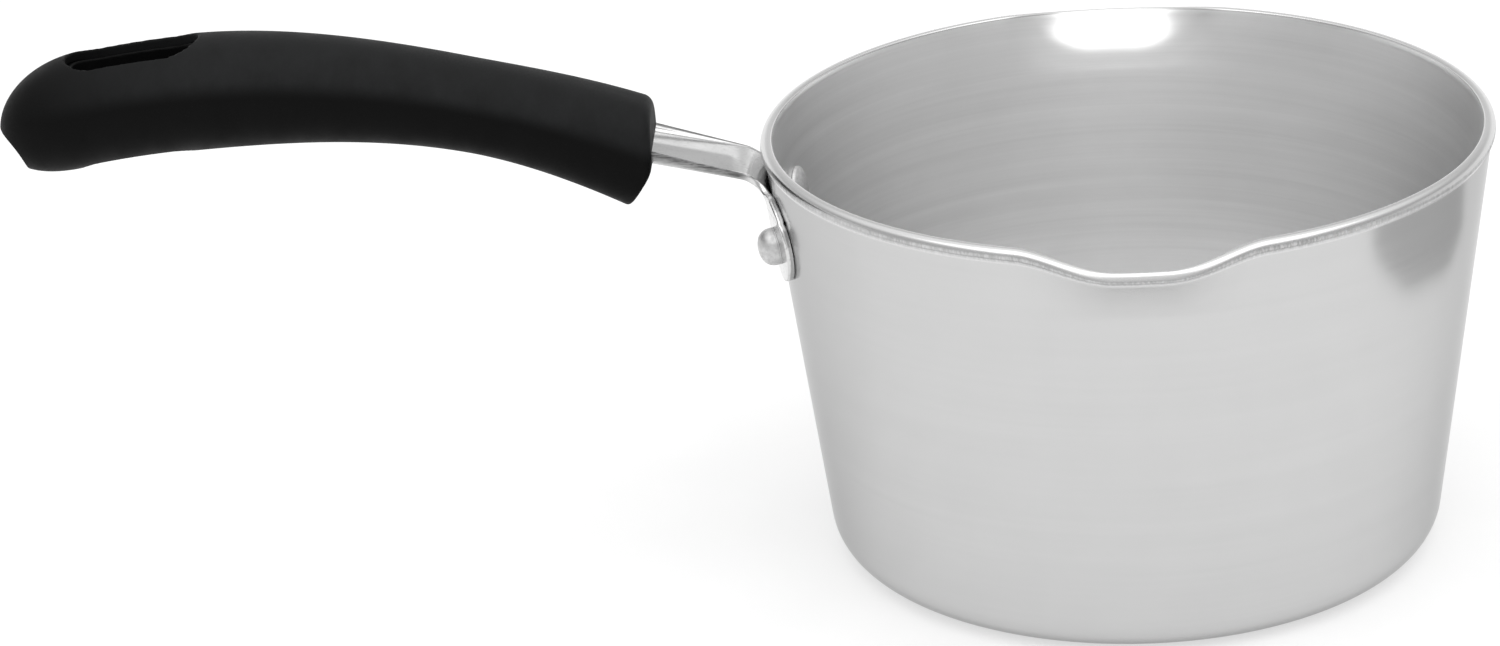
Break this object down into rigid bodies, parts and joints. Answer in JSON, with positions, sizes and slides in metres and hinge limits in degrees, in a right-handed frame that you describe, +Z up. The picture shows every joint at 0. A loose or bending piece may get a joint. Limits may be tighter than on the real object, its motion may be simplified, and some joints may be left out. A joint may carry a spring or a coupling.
{
  "type": "candle melting pot",
  "caption": "Flared aluminium pouring pot with pressed spouts and a riveted side handle with a curved moulded grip, for melting candle wax.",
  "frame": {"origin": "the pot's axis at the base plane, the face that the pot rests on", "axes": "+Z up along the pot's axis, handle toward -X, pouring spouts at +Y and -Y"},
  "size_m": [0.3274, 0.1704, 0.1251],
  "materials": {
    "pot_metal": "satin, spun",
    "bracket_metal": "bright",
    "rivet_metal": "satin",
    "core_plastic": "semi-matt",
    "sleeve_plastic": "matt"
  },
  "bodies": {
    "root": {"pot_body": "pot_metal", "handle_bracket": "bracket_metal", "rivet_near": "rivet_metal", "rivet_far": "rivet_metal", "grip_core": "core_plastic", "grip_sleeve": "sleeve_plastic"}
  },
  "joints": []
}
